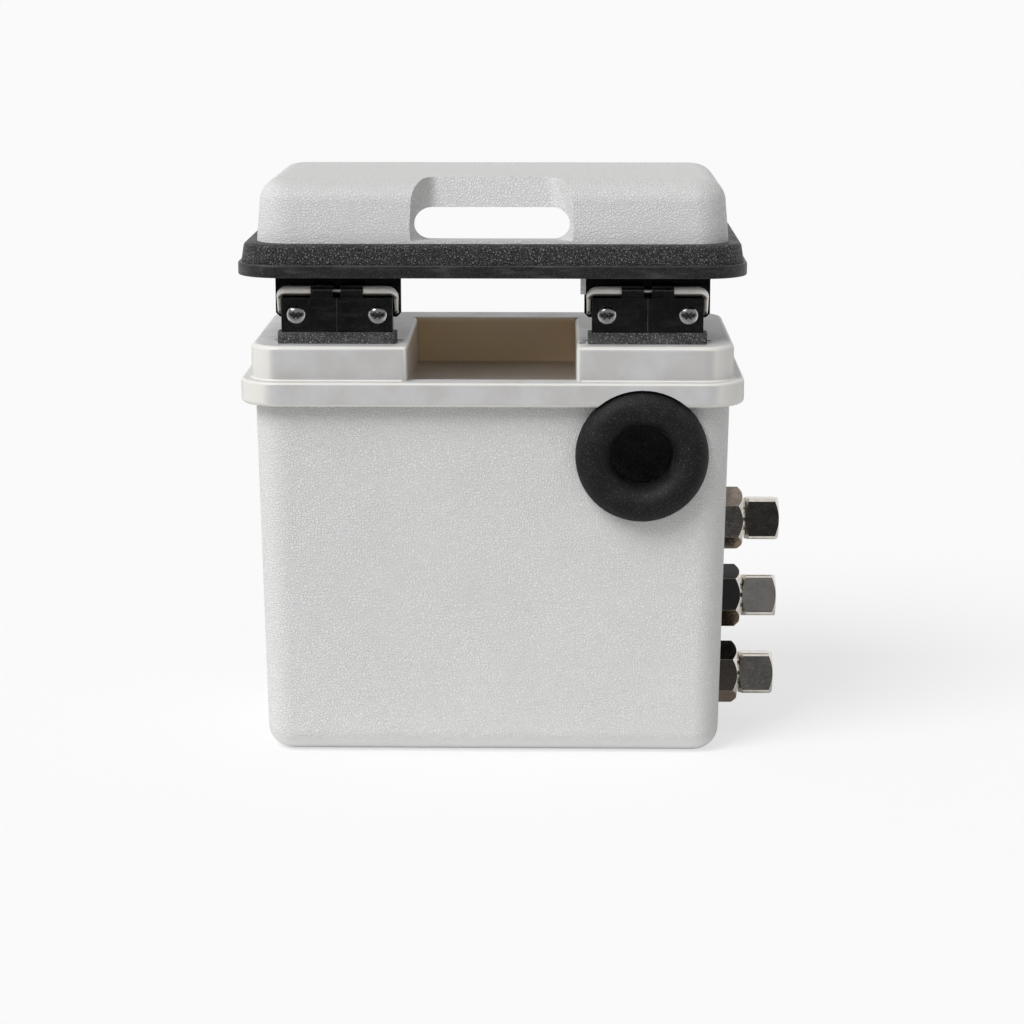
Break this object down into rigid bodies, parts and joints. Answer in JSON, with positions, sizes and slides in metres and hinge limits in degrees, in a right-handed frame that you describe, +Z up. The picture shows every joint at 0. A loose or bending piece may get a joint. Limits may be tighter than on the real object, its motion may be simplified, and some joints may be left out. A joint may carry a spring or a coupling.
{
  "type": "battery storage case",
  "caption": "Rectangular moulded battery case: a tub with a raised top deck, a lift-up lid on sliding front hinges, a rubber cable grommet and side cable glands.",
  "frame": {"origin": "centre of the flat underside of the tub", "axes": "+Z up, +X to the right as the front with the hinges and the grommet is faced, -Y out of that front"},
  "size_m": [0.3182, 0.1711, 0.339],
  "materials": {
    "grained_shell": "fine leather grain",
    "smooth_frame": "smooth satin moulding",
    "textured_black": "pebbled",
    "gloss_black": "polished",
    "black_rubber": "soft matte",
    "stainless": "drawn bar",
    "bright_screws": "polished",
    "gland_nickel": "nickel plate"
  },
  "bodies": {
    "case": {"tub": "grained_shell", "top_frame": "smooth_frame", "frame_seal": "black_rubber", "frame_screws": "stainless", "hinge_foot_left": "textured_black", "hinge_foot_right": "textured_black", "hinge_block_left": "gloss_black", "hinge_block_right": "gloss_black", "block_screws_left": "bright_screws", "block_screws_right": "bright_screws", "foot_screws": "stainless", "cable_grommet": "black_rubber", "gland_body_top": "gland_nickel", "gland_body_middle": "gland_nickel", "gland_body_bottom": "gland_nickel", "gland_washer_top": "black_rubber", "gland_washer_middle": "black_rubber", "gland_washer_bottom": "black_rubber", "gland_locknut_top": "gland_nickel", "gland_locknut_middle": "gland_nickel", "gland_locknut_bottom": "gland_nickel", "gland_bush_top": "black_rubber", "gland_bush_middle": "black_rubber", "gland_bush_bottom": "black_rubber"},
    "hinge_bails": {"hinge_bail_left": "stainless", "hinge_bail_right": "stainless"},
    "lid": {"lid_shell": "grained_shell", "lid_rim": "textured_black", "lid_edge_trim": "black_rubber", "lid_bracket_left": "gloss_black", "lid_bracket_right": "gloss_black", "bracket_screws": "stainless"},
    "cap_top": {"gland_cap_top": "gland_nickel"},
    "cap_middle": {"gland_cap_middle": "gland_nickel"},
    "cap_bottom": {"gland_cap_bottom": "gland_nickel"}
  },
  "joints": [
    {"name": "lid_tilt", "type": "hinge", "parent": "case", "child": "hinge_bails", "pos_m": [0, -0.06, 0.2741], "axis": [1, 0, 0], "range_deg": [0, 90]},
    {"name": "lid_lift", "type": "slide", "parent": "hinge_bails", "child": "lid", "axis": [0, 0, 1], "range_m": [-0.0568, 0]},
    {"name": "cap_top_turn", "type": "hinge", "parent": "case", "child": "cap_top", "pos_m": [0.15, 0, 0.1286], "axis": [1, 0, 0], "continuous": true},
    {"name": "cap_middle_turn", "type": "hinge", "parent": "case", "child": "cap_middle", "pos_m": [0.15, 0, 0.0803], "axis": [1, 0, 0], "continuous": true},
    {"name": "cap_bottom_turn", "type": "hinge", "parent": "case", "child": "cap_bottom", "pos_m": [0.15, 0, 0.032], "axis": [1, 0, 0], "continuous": true}
  ]
}
